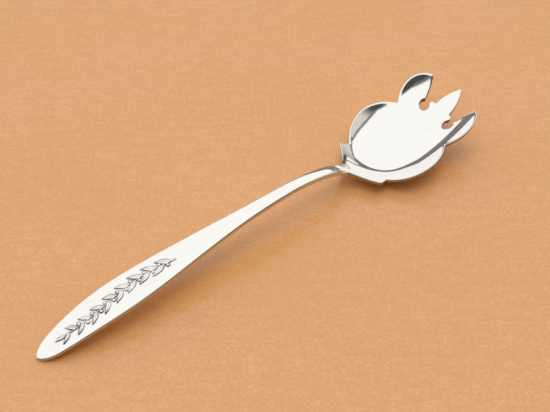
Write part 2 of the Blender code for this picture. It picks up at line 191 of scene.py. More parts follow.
# Sockets of a Mix node that mixes colours
MIX_SHARE, MIX_FIRST, MIX_SECOND = 0, 6, 7
MIX_RESULT = 2

# Marks on a surface: noise of scale features a metre, drawn out by stretch along X, Y and Z. Where the
# noise rises from low to high, the mark goes from faint to full
Marks = namedtuple("Marks", "scale detail stretch low high faint full")
EVEN = (1.0, 1.0, 1.0)

# Silver
SILVER_COLOUR = (0.955, 0.945, 0.925, 1.0)
SOLDER_COLOUR = (0.90, 0.885, 0.84, 1.0)
# Painted shade on the metal's sides: darker than its faces, in place of the shaded table that they mirror
HANDLE_SIDE_SHADE = (0.65, 0.61, 0.48, 1.0)  # of the metal's sides, darkened as painted shade
BOWL_SIDE_SHADE = (0.45, 0.36, 0.275, 1.0)
TARNISH_COLOUR = (0.84, 0.80, 0.72, 1.0)
TARNISH = Marks(140.0, 4.0, EVEN, 0.52, 0.78, 0.0, 0.22)
ROUGHNESS = Marks(420.0, 3.0, EVEN, 0.3, 0.75, 0.025, 0.065)
SCRATCHES_ALONG = (900.0, 2.0, (4.0, 0.17, 1.0))  # scale, detail and stretch
SCRATCHES_ACROSS = (800.0, 2.0, (0.2, 2.5, 1.0))
SCRATCH_STRENGTH, SCRATCH_DEPTH = 0.02, 0.05 * MM
# Dark oxide in the sprig's recesses, and painted shade along the fold below the left ear, share this colour
OXIDE_AND_SHADE_COLOUR = (0.055, 0.052, 0.046, 1.0)
OXIDE_AND_SHADE_ROUGHNESS = 0.4  # that full oxide, and full painted shade in the fold, add to the polish
OXIDE_LEFT = Marks(260.0, 3.0, EVEN, 0.35, 0.65, 0.35, 1.0)  # share that use has left in the recesses

# Fold below the left ear, in plan from DISH_X, and the painted shade that lies along it
FOLD_START, FOLD_END = (-10.5 * MM, 2.7 * MM), (-7.9 * MM, 5.3 * MM)
FOLD_CORE, FOLD_REACH = 0.3 * MM, 0.75 * MM
FOLD_DARKNESS = 0.9
FOLD_RAGGEDNESS = Marks(1500.0, 3.0, EVEN, 0.3, 0.7, 0.6, 1.4)

# Table: a pale, warm, varnished wood, with its grain across the picture
TABLE_COLOUR = (0.84, 0.43, 0.185, 1.0)
TABLE_FIGURE_COLOUR = (0.81, 0.405, 0.14, 1.0)
TABLE_GRAIN_COLOUR = (0.69, 0.325, 0.115, 1.0)
TABLE_FIGURE = Marks(30.0, 4.0, (2.5, 1.0, 1.0), 0.35, 0.65, 0.0, 1.0)
TABLE_STREAKS = Marks(450.0, 3.0, (2.5, 1.0, 1.0), 0.3, 0.7, 0.0, 0.5)
TABLE_GRAIN = Marks(1500.0, 6.0, (1.5, 1.2, 1.0), 0.3, 0.7, 0.0, 0.8)
VARNISH_ROUGHNESS, VARNISH_IOR = 0.25, 1.7
TABLE_HALF_SIZE = 3.0

# Camera
VIEW_AZIMUTH, VIEW_ELEVATION = math.radians(36), math.radians(51.45)
VIEW_TARGET = Vector((6.93 * MM, 4.99 * MM, 0.0))
VIEW_DISTANCE = 289.5 * MM
LENS, SENSOR_WIDTH = 65.0, 36.0

# Light: a panel overhead that leans away from the camera, within a dark rim. Its sides are measured in
# slopes from its own axis: (turn to the left of the camera's view, distance, breadth of the rim)
PANEL_LEAN = math.radians(14)
PANEL_SIDES = (
    (math.radians(43), 1.69, 0.56),
    (math.radians(-17), 1.44, 0.86),
    (math.radians(-35), 1.42, 0.60),
    (math.radians(-90), 1.06, 0.07),
    (math.radians(-100), 0.97, 0.06),
    (math.radians(-117), 0.845, 0.055),
    (math.radians(-152), 0.935, 0.03),
    (math.radians(180), 1.03, 0.07),
    (math.radians(90), 1.9, 0.0),
)
EDGE_BLUR = 0.012  # half breadth of the panel's soft edge, as an angle
SLOPE_TO_ANGLE = 1.5  # power of the cosine that scales slopes to angles: 1 across the slope, 2 along it
LEAST_COSINE = 0.001  # to the panel's axis
PANEL_LIGHT = (1.0, 0.99, 0.97, 1.0)
RIM_LIGHT = (0.20, 0.185, 0.17, 1.0)

# Room round the panel. The shares say how far a direction points to the right, up and ahead of the camera
LEFT_WALL = (0.97, 0.95, 0.91, 1.0)
RIGHT_WALL = (0.70, 0.66, 0.59, 1.0)
RIGHT_WALL_FOOT = (0.24, 0.20, 0.165, 1.0)
UNLIT_ROOM = (0.06, 0.065, 0.06, 1.0)
RIGHT_FROM, RIGHT_TO = -0.25, -0.05
FOOT_FROM, FOOT_TO = 0.10, 0.50
UNLIT_FROM, UNLIT_TO = -0.25, -0.37
BACKGROUND = (0.86, 0.80, 0.73, 1.0)  # what the camera itself sees past the table

# Lamp for the shadows, in metres and watts
KEY_PLACE = Vector((0.15, 0.1, 3.0))
KEY_SIZE, KEY_POWER = 1.9, 24.0
KEY_COLOUR = (1.0, 0.98, 0.96)


def smoothstep(value):
    """0 below 0, 1 above 1, and smooth between."""
    share = np.clip(value, 0.0, 1.0)
    return share * share * (3.0 - 2.0 * share)


def spline(knots, values, at):
    """Natural cubic spline through (knots, values), read at the places in at."""
    knots, values = np.asarray(knots, float), np.asarray(values, float)
    gaps = np.diff(knots)
    slopes = np.diff(values) / gaps
    system = np.eye(len(knots))
    right = np.zeros(len(knots))
    for i in range(1, len(knots) - 1):
        system[i, i - 1 : i + 2] = gaps[i - 1], 2 * (gaps[i - 1] + gaps[i]), gaps[i]
        right[i] = 6 * (slopes[i] - slopes[i - 1])
    bends = np.linalg.solve(system, right)
    at = np.asarray(at, float)
    i = np.clip(np.searchsorted(knots, at) - 1, 0, len(gaps) - 1)
    a, b, gap = knots[i + 1] - at, at - knots[i], gaps[i]
    return (
        (bends[i] * a**3 + bends[i + 1] * b**3) / (6 * gap)
        + (values[i] / gap - bends[i] * gap / 6) * a
        + (values[i + 1] / gap - bends[i + 1] * gap / 6) * b
    )


def placed_along_handle(from_tip, from_seam):
    """(x, value) rows of two lists, the first measured from the handle's tip, the second from the seam."""
    return [(TIP_X + d, v) for d, v in from_tip] + [(SEAM_X - d, v) for d, v in from_seam]


def handle_edge():
    """Dense half outline of the handle, from the seam to the tip, on the +Y side."""
    side = placed_along_handle(BLADE_OUTLINE, NECK_OUTLINE)
    both = np.array([(x, -y) for x, y in reversed(side[1:])] + side)
    lengths = np.concatenate([[0.0], np.cumsum(np.hypot(*np.diff(both, axis=0).T))])
    middle = lengths[len(side) - 1]
    at = np.linspace(lengths[-1], middle, int((lengths[-1] - middle) / DENSE_STEP))
    return np.stack([spline(lengths, both[:, 0], at), spline(lengths, both[:, 1], at)], axis=1)


def line_points(start, end):
    """Dense points of a straight line."""
    start, end = np.array(start), np.array(end)
    count = max(2, int(np.hypot(*(end - start)) / DENSE_STEP))
    return start + np.linspace(0.0, 1.0, count)[:, None] * (end - start)


def arc_points(centre, radii, start, end):
    """Points of an ellipse's arc between two angles."""
    count = max(2, int(abs(end - start) * max(radii) / DENSE_STEP))
    angles = np.linspace(start, end, count)
    return np.stack([centre[0] + radii[0] * np.cos(angles), centre[1] + radii[1] * np.sin(angles)], axis=1)


def bulged_points(start, end, bulge):
    """Arc from start to end that rises by bulge to the left of its chord."""
    start, end = np.array(start), np.array(end)
    chord = end - start
    length = np.hypot(*chord)
    left = np.array([-chord[1], chord[0]]) / length
    radius = length**2 / (8 * bulge) + bulge / 2
    centre = (start + end) / 2 + left * (bulge - radius)
    first, last = (math.atan2(*(point - centre)[::-1]) for point in (start, end))
    turn = (last - first + math.pi) % (2 * math.pi) - math.pi
    return arc_points(centre, (radius, radius), first, first + turn)


def bezier_points(p0, p1, p2, p3):
    """Dense points of a cubic Bezier curve."""
    corners = np.array([p0, p1, p2, p3])
    count = max(2, int(np.hypot(*(corners[3] - corners[0])) * CURVE_OVER_CHORD / DENSE_STEP))
    t = np.linspace(0.0, 1.0, count)[:, None]
    weights = ((1 - t) ** 3, 3 * t * (1 - t) ** 2, 3 * t**2 * (1 - t), t**3)
    return sum(weight * corner for weight, corner in zip(weights, corners))


def trimmed(points, from_start, from_end):
    """The polyline without a length at each end."""
    steps = np.hypot(*np.diff(points, axis=0).T)
    at = np.concatenate([[0.0], np.cumsum(steps)])
    return points[(at >= from_start) & (at <= at[-1] - from_end)]


def joined(curves, corners):
    """Curves end to end, with corners[i] cut off both sides of the corner after curve i and rounded."""
    path = [trimmed(curves[0], 0.0, corners[0])]
    for i, curve in enumerate(curves[1:]):
        following = corners[i + 1] if i + 1 < len(corners) else 0.0
        after = trimmed(curve, corners[i], following)
        before, corner = path[-1][-1], curve[0]
        count = max(3, int(2 * corners[i] / DENSE_STEP))
        t = np.linspace(0.0, 1.0, count)[1:-1, None]
        path.append((1 - t) ** 2 * before + 2 * t * (1 - t) * corner + t**2 * after[0])
        path.append(after)
    return np.concatenate(path)


def on_round(x):
    """Half width of the bowl's round part at x, measured from DISH_X."""
    reach = ROUND_REAR if x < ROUND_X else ROUND_FRONT
    return ROUND_HALF_WIDTH * math.sqrt(1 - ((x - ROUND_X) / reach) ** 2)


def round_edge():
    """The round part's edge from the ear's step to the notch behind the outer tine."""
    rear = math.acos((EAR_STEP_X - ROUND_X) / ROUND_REAR)
    front = math.acos((NOTCH_X - ROUND_X) / ROUND_FRONT)
    centre = (ROUND_X, 0.0)
    behind = arc_points(centre, (ROUND_REAR, ROUND_HALF_WIDTH), rear, math.pi / 2)
    ahead = arc_points(centre, (ROUND_FRONT, ROUND_HALF_WIDTH), math.pi / 2, front)
    return np.concatenate([behind, ahead[1:]])


def middle_tine_edge():
    """Pointed arch of the middle tine: an arc from its base, then the round tip."""
    tip = TINE_X - DISH_X
    reach = tip - MIDDLE_TIP_RADIUS - MIDDLE_BASE_X
    width, nose = MIDDLE_HALF_WIDTH, MIDDLE_TIP_RADIUS
    radius = (reach**2 + width**2 - nose**2) / (2 * (width - nose))
    centre = (MIDDLE_BASE_X, width - radius)
    turn = math.atan2(radius - width, reach)
    side = arc_points(centre, (radius, radius), math.pi / 2, turn)
    return np.concatenate([side, arc_points((tip - nose, 0.0), (nose, nose), turn, 0.0)[1:]])


def on_slot(angle):
    """Point of the slot's round end at an angle, measured from DISH_X."""
    return (
        SLOT_CENTRE[0] + SLOT_RADIUS * math.cos(angle),
        SLOT_CENTRE[1] + SLOT_RADIUS * math.sin(angle),
    )


def bowl_edge():
    """Dense half outline of the bowl, from the seam to the middle tine's tip, on the +Y side."""
    neck = (SEAM_X - DISH_X, NECK_HALF_WIDTH)
    neck_pull, ear_pull = FLARE_LENGTHS
    back = (EAR_TIP[0] - ear_pull * math.cos(FLARE_ANGLE), EAR_TIP[1] - ear_pull * math.sin(FLARE_ANGLE))
    step, notch = (EAR_STEP_X, on_round(EAR_STEP_X)), (NOTCH_X, on_round(NOTCH_X))
    lip, barb_root = on_slot(SLOT_LIP_ANGLE), on_slot(BARB_ROOT_ANGLE)
    barb_foot = (MIDDLE_BASE_X, MIDDLE_HALF_WIDTH)
    curves = [
        bezier_points(neck, (neck[0] + neck_pull, neck[1]), back, EAR_TIP),
        line_points(EAR_TIP, step),
        round_edge(),
        bulged_points(notch, TINE_TIP, TINE_BULGE),
        bulged_points(TINE_TIP, lip, TINE_INNER_BULGE),
        arc_points(SLOT_CENTRE, (SLOT_RADIUS, SLOT_RADIUS), SLOT_LIP_ANGLE, BARB_ROOT_ANGLE + 2 * math.pi),
        line_points(barb_root, BARB_TIP),
        line_points(BARB_TIP, barb_foot),
        middle_tine_edge(),
    ]
    corners = [SMALL_CORNER] * (len(curves) - 1)
    corners[0] = corners[3] = CORNER  # the tips of the ear and of the outer tine
    return joined(curves, corners) + [DISH_X, 0.0]


def thinned(points, step, turn):
    """Fewer points: one wherever the path has run on by step or turned by turn since the last."""
    directions = np.unwrap(np.arctan2(*np.diff(points, axis=0).T[::-1]))
    lengths = np.hypot(*np.diff(points, axis=0).T)
    kept, run, swing = [0], 0.0, 0.0
    for i in range(1, len(points) - 1):
        run += lengths[i - 1]
        swing += abs(directions[i] - directions[i - 1])
        if run >= step or swing >= turn:
            kept.append(i)
            run, swing = 0.0, 0.0
    if run + lengths[-1] < step / 3 and len(kept) > 1:
        kept.pop()
    return points[kept + [len(points) - 1]]


HANDLE_EDGE = handle_edge()
BOWL_EDGE = bowl_edge()


def softly_above(value, softness):
    """The value where it is above 0, and 0 below, with a soft bend between."""
    return softness * np.logaddexp(0.0, value / softness)


def dish_height(x, y):
    """Height of the middle of the metal in the bowl's dish: a trough that is closed by a round rear wall."""
    behind = softly_above(DISH_X + REAR_START - x, REAR_SOFTNESS)
    ahead = softly_above(x - DISH_X, REAR_SOFTNESS)
    scale = DISH_SIDE_RADIUS * DISH_SIDE_SLOPE
    run = np.hypot(y, behind) / scale
    wall = scale * DISH_SIDE_SLOPE * (np.sqrt(1 + run**2) - 1)
    return SHEET_THICKNESS / 2 - FLAT_DEPTH + ahead**2 / (2 * DISH_LENGTH_RADIUS) + wall


def neck_line(x):
    """Height of the middle of the metal along the handle, and on down the middle of the rear wall."""
    rows = placed_along_handle(BLADE_BEND, NECK_BEND)
    for share in ROOT_STATIONS:
        past = SEAM_X + share * ROOT_LENGTH
        rows.append((past, dish_height(past, 0.0)))
    rows = np.array(rows)
    return spline(rows[:, 0], rows[:, 1], np.minimum(x, rows[-1, 0]))


def mid_height(x, y):
    """Height of the middle of the metal: the handle's line, which widens into the dish past the seam."""
    line = neck_line(x)
    return line + smoothstep((x - SEAM_X) / ROOT_LENGTH) * (dish_height(x, y) - line)


def edge_thickness(x):
    """Half thickness of the metal along its edge, which is also how far the rounded edge reaches in."""
    from_tip = np.minimum(x - TIP_X, THICKNESS_STATIONS[-1])
    handle = spline(THICKNESS_STATIONS, (TIP_EDGE, BLADE_EDGE, NECK_EDGE), from_tip)
    fade = 1 - smoothstep((x - SEAM_X) / ROOT_LENGTH)
    return np.where(x < SEAM_X, handle, SHEET_THICKNESS / 2 + (NECK_EDGE - SHEET_THICKNESS / 2) * fade)


def half_thickness(x, y):
    """Half thickness of the metal: its edge's, and a crown that fades out along the drop in the bowl."""
    from_tip = np.minimum(x - TIP_X, THICKNESS_STATIONS[-1])
    share = np.clip((x - SEAM_X) / DROP_LENGTH, 0.0, 1.0)
    on_handle = spline(THICKNESS_STATIONS, (TIP_CROWN, BLADE_CROWN, NECK_CROWN), from_tip)
    crown = np.where(x < SEAM_X, on_handle, NECK_CROWN * (1 - smoothstep(share)))
    from_tip_edge = HANDLE_EDGE[::-1]
    outline = np.interp(x, from_tip_edge[:, 0], from_tip_edge[:, 1])
    on_neck = np.maximum(outline, LEAST_HALF_WIDTH)
    width = np.where(x < SEAM_X, on_neck, NECK_HALF_WIDTH + DROP_SPREAD * share)
    return edge_thickness(x) + crown * np.clip(1 - (y / width) ** 2, 0.0, 1.0) ** (1 + share)


def formed(plan, through):
    """Bent place of the blank's points: plan holds (x, y), through runs from -1, underneath, to +1."""
    x, y = plan[:, 0], plan[:, 1]
    height = mid_height(x, y) + through * half_thickness(x, y)
    return np.column_stack([x, y, np.maximum(height, 0.0)])


def inward(path):
    """Unit normals to the left of an open path, square to the spork at its two ends on the seam."""
    ahead = np.gradient(path, axis=0)
    ahead[[0, -1], 1] = 0.0
    left = np.column_stack([-ahead[:, 1], ahead[:, 0]])
    return left / np.hypot(*left.T)[:, None]


def room_inside(path, normals):
    """Radius at each point of the largest circle that touches the path there and crosses it nowhere."""
    across = path[None, :, :] - path[:, None, :]
    depth = (across * normals[:, None, :]).sum(axis=2)
    square = (across**2).sum(axis=2)
    radius = np.where(depth > TINY, square / (2 * np.maximum(depth, TINY)), np.inf)
    return radius.min(axis=1)


def inset_path(path):
    """The path moved inwards by the edge's reach, by less where a tight corner leaves no room for it."""
    normals = inward(path)
    reach = np.minimum(edge_thickness(path[:, 0]), ROOM_SHARE * room_inside(path, normals))
    steps = REACH_SLOPE * np.hypot(*np.diff(path, axis=0).T)
    for i in range(1, len(path)):
        reach[i] = min(reach[i], reach[i - 1] + steps[i - 1])
    for i in range(len(path) - 2, -1, -1):
        reach[i] = min(reach[i], reach[i + 1] + steps[i])
    return path + normals * reach[:, None]


def inside(points, polygon):
    """Which points lie inside a closed polygon."""
    found = np.zeros(len(points), bool)
    for (x0, y0), (x1, y1) in zip(polygon, np.roll(polygon, -1, axis=0)):
        if y0 != y1:
            crosses = (y0 > points[:, 1]) != (y1 > points[:, 1])
            found ^= crosses & (points[:, 0] < x0 + (points[:, 1] - y0) * (x1 - x0) / (y1 - y0))
    return found


def distance_to(points, polygon):
    """Distance of each point from the nearest side of a closed polygon."""
    nearest = np.full(len(points), np.inf)
    for start, end in zip(polygon, np.roll(polygon, -1, axis=0)):
        side = end - start
        share = np.clip((points - start) @ side / (side @ side), 0.0, 1.0)
        nearest = np.minimum(nearest, np.hypot(*(points - start - share[:, None] * side).T))
    return nearest


def grid_points(low, high, step):
    """Triangular grid of points over a rectangle."""
    row_step = step * math.sqrt(3) / 2
    rows = []
    for i, y in enumerate(np.arange(low[1], high[1], row_step)):
        xs = np.arange(low[0] + (i % 2) * step / 2, high[0], step)
        rows.append(np.column_stack([xs, np.full(len(xs), y)]))
    return np.concatenate(rows)


def face_points(polygon):
    """Grid points inside the polygon, clear of its sides."""
    grid = grid_points(polygon.min(axis=0), polygon.max(axis=0), FACE_STEP)
    grid = grid[inside(grid, polygon)]
    return grid[distance_to(grid, polygon) > FACE_STEP / 2]


def triangulated(polygon, grid):
    """(points, triangles) of the polygon's inside; the polygon's own points come first, in order."""
    points = np.concatenate([polygon, grid])
    count = len(polygon)
    edges = [(i, (i + 1) % count) for i in range(count)]
    in_mm = [Vector(point / MM) for point in points]
    _, _, triangles, origins, _, _ = delaunay_2d_cdt(in_mm, edges, [], 1, MERGE_DISTANCE)
    source = [found[0] for found in origins]
    return points, [[source[i] for i in triangle] for triangle in triangles]


def edge_profile(angle):
    """(outwards, upwards) shares of the rounded edge at an angle above its middle."""
    power = 2.0 / EDGE_SQUARENESS
    up = np.sin(angle)
    return np.abs(np.cos(angle)) ** power, np.sign(up) * np.abs(up) ** power


def closed_along_seam(path):
    """Closed polygon of an open path and evenly spaced points back along the seam."""
    count = int(abs(path[0, 1] - path[-1, 1]) / SEAM_STEP)
    shares = np.linspace(0.0, 1.0, count + 1)[1:-1, None]
    return np.concatenate([path, path[-1] + shares * (path[0] - path[-1])])


def blank_mesh(name, path, refine=None):
    """(mesh, plan of its upper face) of a blank whose edge follows an open path, cut flat at the seam.

    The path runs counter-clockwise. refine(plan points) gives the upper face's own grid where it is
    decorated. The mesh's attribute "side" says how far round the edge each point lies, away from the faces.
    """
    inner = inset_path(path)
    polygon = closed_along_seam(inner)
    grid = face_points(polygon)
    upper_plan, upper_triangles = triangulated(polygon, refine(grid) if refine else grid)
    lower_plan, lower_triangles = triangulated(polygon, grid)
    upper_total, lower_total, count = len(upper_plan), len(lower_plan), len(path)
    points = [formed(upper_plan, np.ones(upper_total)), formed(lower_plan, -np.ones(lower_total))]
    side = [np.zeros(upper_total + lower_total)]
    ring_starts = [0]
    for strip in range(1, RIM_STRIPS):
        angle = math.pi / 2 - math.pi * strip / RIM_STRIPS
        out, up = edge_profile(angle)
        points.append(formed(inner + (path - inner) * out, np.full(count, up)))
        side.append(np.full(count, math.cos(angle) ** 2))
        ring_starts.append(upper_total + lower_total + (strip - 1) * count)
    ring_starts.append(upper_total)
    faces = [list(triangle) for triangle in upper_triangles]
    faces += [[upper_total + i for i in reversed(triangle)] for triangle in lower_triangles]
    for upper, lower in zip(ring_starts, ring_starts[1:]):
        faces += [[upper + i, lower + i, lower + i + 1, upper + i + 1] for i in range(count - 1)]
    upper_seam = list(range(count, len(polygon)))
    lower_seam = [upper_total + i for i in upper_seam]
    path_ends = [start + count - 1 for start in ring_starts]
    faces.append(ring_starts[::-1] + upper_seam[::-1] + path_ends + lower_seam)
    mesh = bpy.data.meshes.new(name)
    mesh.from_pydata(np.concatenate(points).tolist(), [], faces)
    mesh.attributes.new("side", "FLOAT", "POINT").data.foreach_set("value", np.concatenate(side))
    mesh.validate()
    return mesh, upper_plan


def mirrored_path(half):
    """Open path from a half outline that ends on the axis: its mirror image, and then itself backwards."""
    return np.concatenate([half * [1, -1], half[-2::-1]])


def cut_at(half, x):
    """The half outline with its end on the seam moved to x."""
    moved = half.copy()
    moved[0, 0] = x
    return moved


def stem_place(share):
    """Plan place of the sprig's stem, from its start at 0 to its end at 1."""
    x = TIP_X + SPRIG_START + (SPRIG_END - SPRIG_START) * share
    return np.stack([x, SPRIG_SWAY * np.sin(2 * math.pi * (share - SWAY_START))], axis=-1)


def stem_heading(share, step=STEM_STEP):
    """Unit direction of the stem over a step along it."""
    ahead = stem_place(share + step) - stem_place(share)
    return ahead / np.hypot(*ahead)


def leaf_rows():
    """(base, direction, length) of each leaf: pairs along the stem, staggered, and one at its end."""
    rows = []
    for i in range(2 * LEAF_PAIRS):
        share = (i + 0.5) / (2 * LEAF_PAIRS)
        ahead = stem_heading(share)
        length = LEAF_LENGTHS[0] + (LEAF_LENGTHS[1] - LEAF_LENGTHS[0]) * share
        angle = LEAF_ANGLES[0] + (LEAF_ANGLES[1] - LEAF_ANGLES[0]) * share
        side = 1 if i % 2 else -1
        heading = math.atan2(ahead[1], ahead[0]) + side * angle
        rows.append((stem_place(share), np.array([math.cos(heading), math.sin(heading)]), length))
    rows.append((stem_place(1.0), stem_heading(1.0 - END_STEP, END_STEP), LEAF_LENGTHS[1]))
    return rows


def berry_places():
    """Berries on the stem's other side from each leaf, a little ahead of it."""
    places = []
    for i in range(BERRY_COUNT):
        share = (i + 0.5 + BERRY_LAG) / (2 * LEAF_PAIRS)
        ahead = stem_heading(share)
        side = -1 if i % 2 else 1
        places.append(stem_place(share) + side * BERRY_OFFSET * np.array([-ahead[1], ahead[0]]))
    return places


def domed(gap, reach):
    """Share of a dome's height at a gap from its middle: 1 there, and 0 from its reach outwards."""
    return np.sqrt(np.clip(1 - (gap / np.maximum(reach, TINY)) ** 2, 0.0, 1.0))


def sprig_relief(plan):
    """(height, darkness) of the sprig over plan points: raised leaves within narrow, darkened recesses."""
    stem = stem_place(np.linspace(0.0, 1.0, STEM_POINTS))
    stem_gap = np.min(np.hypot(*(plan[:, None, :] - stem[None, :, :]).transpose(2, 0, 1)), axis=1)
    outside = stem_gap - STEM_HALF_WIDTH
    height = STEM_RELIEF * RELIEF_HEIGHT * domed(stem_gap, STEM_HALF_WIDTH)
    vein = np.zeros(len(plan))
    for base, heading, length in leaf_rows():
        along = (plan - base) @ heading / length
        across = np.abs((plan - base) @ np.array([-heading[1], heading[0]]))
        share = np.clip(along, 0.0, 1.0)
        width = LEAF_SLENDERNESS * length * np.sin(math.pi * share**LEAF_FULLNESS)
        on_leaf = across < width
        beyond = np.maximum(np.abs(along - 0.5) - 0.5, 0.0) * length
        outside = np.minimum(outside, np.hypot(across - width, beyond) * np.where(on_leaf, -1, 1))
        height = np.maximum(height, RELIEF_HEIGHT * domed(across, width) * on_leaf)
        ends = smoothstep(VEIN_SETS_IN * share) * smoothstep(VEIN_FADES * (1 - share))
        vein = np.maximum(vein, np.exp(-((across / VEIN_WIDTH) ** 2)) * ends)
    for place in berry_places():
        gap = np.hypot(*(plan - place).T)
        outside = np.minimum(outside, gap - BERRY_RADIUS)
        height = np.maximum(height, BERRY_RELIEF * RELIEF_HEIGHT * domed(gap, BERRY_RADIUS))
    recess = np.where(outside > 0, 1 - smoothstep(outside / RECESS_WIDTH), 0.0)
    lip = np.where(outside > 0, 0.0, 1 - smoothstep(-outside / RECESS_LIP))
    vein = vein * (outside < 0)
    darkness = np.maximum(recess, np.maximum(LIP_DARKNESS * lip, VEIN_DARKNESS * vein))
    return height - RECESS_DEPTH * recess - VEIN_DEPTH * vein, darkness


def with_sprig_grid(grid):
    """The face's grid with its points near the sprig changed for a much finer grid."""
    low = np.array([TIP_X + SPRIG_END - LEAF_LENGTHS[1] - SPRIG_MARGIN, -SPRIG_HALF_WIDTH])
    high = np.array([TIP_X + SPRIG_START + SPRIG_MARGIN, SPRIG_HALF_WIDTH])
    fine = grid_points(low, high, SPRIG_STEP)
    kept = grid[((grid < low - FACE_STEP / 2) | (grid > high + FACE_STEP / 2)).any(axis=1)]
    return np.concatenate([kept, fine])


def add_piece(mesh, finish, node):
    """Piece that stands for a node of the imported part."""
    piece = bpy.data.objects.new("silver_" + node, mesh)
    mesh.materials.append(finish)
    mesh.shade_smooth()
    mesh.set_sharp_from_angle(angle=SHARP_ANGLE)
    bpy.context.scene.collection.objects.link(piece)
    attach(piece, "root")
    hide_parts(node)


def handle_mesh():
    """The handle, with the sprig raised on its upper face and the darkness of its recesses as "oxide"."""
    half = cut_at(thinned(HANDLE_EDGE, EDGE_STEP, EDGE_TURN), SEAM_X - SEAM_WIDTH / 2)
    mesh, upper_plan = blank_mesh("silver_handle", mirrored_path(half)[::-1], with_sprig_grid)
    height, darkness = sprig_relief(upper_plan)
    places = np.zeros(len(mesh.vertices) * 3)
    mesh.vertices.foreach_get("co", places)
    places[2 : 3 * len(upper_plan) : 3] += height
    mesh.vertices.foreach_set("co", places)
    oxide = mesh.attributes.new("oxide", "FLOAT", "POINT")
    values = np.zeros(len(mesh.vertices))
    values[: len(upper_plan)] = darkness
    oxide.data.foreach_set("value", values)
    return mesh


def bowl_mesh():
    """The bowl, with its ears, slots and tines."""
    half = cut_at(thinned(BOWL_EDGE, EDGE_STEP, EDGE_TURN), SEAM_X + SEAM_WIDTH / 2)
    return blank_mesh("silver_bowl", mirrored_path(half))[0]


def solder_mesh():
    """Wafer of the neck's own section that fills the seam."""
    edge = float(edge_thickness(SEAM_X))
    flat = NECK_HALF_WIDTH - edge
    out, up = edge_profile(math.pi * np.arange(RIM_STRIPS + 1) / RIM_STRIPS - math.pi / 2)
    count = int(2 * flat / SEAM_STEP)
    across = np.linspace(flat, -flat, count + 1)[1:-1]
    y = np.concatenate([flat + edge * out, across, -flat - edge * out, -across])
    through = np.concatenate([up, np.ones(len(across)), -up, -np.ones(len(across))])
    sides = (SEAM_X - SEAM_WIDTH / 2, SEAM_X + SEAM_WIDTH / 2)
    rings = [formed(np.column_stack([np.full(len(y), x), y]), through) for x in sides]
    total = len(y)
    faces = [list(range(total))[::-1], list(range(total, 2 * total))]
    for i in range(total):
        following = (i + 1) % total
        faces.append([i, following, total + following, total + i])
    mesh = bpy.data.meshes.new("silver_solder_seam")
    mesh.from_pydata(np.concatenate(rings).tolist(), [], faces)
    return mesh


def add_node(tree, kind, inputs=None, **settings):
    """New shader node; an input is either a plain value or the socket that feeds it."""
    made = tree.nodes.new(kind)
    for name, value in settings.items():
        setattr(made, name, value)
    for socket, value in (inputs or {}).items():
        if isinstance(value, bpy.types.NodeSocket):
            tree.links.new(value, made.inputs[socket])
        else:
            made.inputs[socket].default_value = value
    return made


def math_node(tree, operation, *values):
    """Result of one arithmetic step on values or sockets."""
    return add_node(tree, "ShaderNodeMath", dict(enumerate(values)), operation=operation).outputs[0]


def ramp(tree, value, low, high, to_low=0.0, to_high=1.0):
    """Smooth step of a value from to_low at low to to_high at high."""
    limits = {"Value": value, "From Min": low, "From Max": high, "To Min": to_low, "To Max": to_high}
    return add_node(tree, "ShaderNodeMapRange", limits, interpolation_type="SMOOTHSTEP").outputs["Result"]


def mixed(tree, share, first, second):
    """Colour between the first and the second, by a share."""
    inputs = {MIX_SHARE: share, MIX_FIRST: first, MIX_SECOND: second}
    return add_node(tree, "ShaderNodeMix", inputs, data_type="RGBA").outputs[MIX_RESULT]


def noise(tree, place, scale, detail, stretch, turn=0.0):
    """Noise of so many features a metre, drawn out by stretch along axes that are turned about Z."""
    settings = {"Vector": place, "Scale": stretch, "Rotation": (0.0, 0.0, turn)}
    drawn = add_node(tree, "ShaderNodeMapping", settings, vector_type="TEXTURE")
    inputs = {"Vector": drawn.outputs[0], "Scale": scale, "Detail": detail}
    return add_node(tree, "ShaderNodeTexNoise", inputs).outputs["Fac"]


def marked(tree, place, marks, turn=0.0):
    """Strength of the marks over a surface, with their axes turned about Z."""
    value = noise(tree, place, marks.scale, marks.detail, marks.stretch, turn)
    return ramp(tree, value, marks.low, marks.high, marks.faint, marks.full)


def new_material(name):
    """(material, its node tree, its shader)."""
    made = bpy.data.materials.new(name)
    made.use_nodes = True
    tree = made.node_tree
    return made, tree, tree.nodes["Principled BSDF"]


def sprig_residue(tree, place):
    """Share of dark oxide in the sprig's recesses: the mesh says where, and use has worn it unevenly."""
    recess = add_node(tree, "ShaderNodeAttribute", attribute_name="oxide").outputs["Fac"]
    return math_node(tree, "MULTIPLY", recess, marked(tree, place, OXIDE_LEFT))


def fold_painted_shade(tree, place):
    """Share of painted shade along the fold below the left ear, darkest along its core."""
    parts = add_node(tree, "ShaderNodeSeparateXYZ", {0: place}).outputs
    start = Vector(FOLD_START)
    run = Vector(FOLD_END) - start
    share = run / run.length_squared
    x = math_node(tree, "SUBTRACT", parts["X"], DISH_X + start.x)
    y = math_node(tree, "SUBTRACT", parts["Y"], start.y)
    along = math_node(tree, "MULTIPLY_ADD", x, share.x, math_node(tree, "MULTIPLY", y, share.y))
    along = math_node(tree, "MAXIMUM", math_node(tree, "MINIMUM", along, 1.0), 0.0)
    off_x = math_node(tree, "MULTIPLY_ADD", along, -run.x, x)
    off_y = math_node(tree, "MULTIPLY_ADD", along, -run.y, y)
    squares = math_node(tree, "MULTIPLY_ADD", off_x, off_x, math_node(tree, "MULTIPLY", off_y, off_y))
    ragged = marked(tree, place, FOLD_RAGGEDNESS)
    distance = math_node(tree, "MULTIPLY", math_node(tree, "SQRT", squares), ragged)
    return ramp(tree, distance, FOLD_CORE, FOLD_REACH, FOLD_DARKNESS, 0.0)


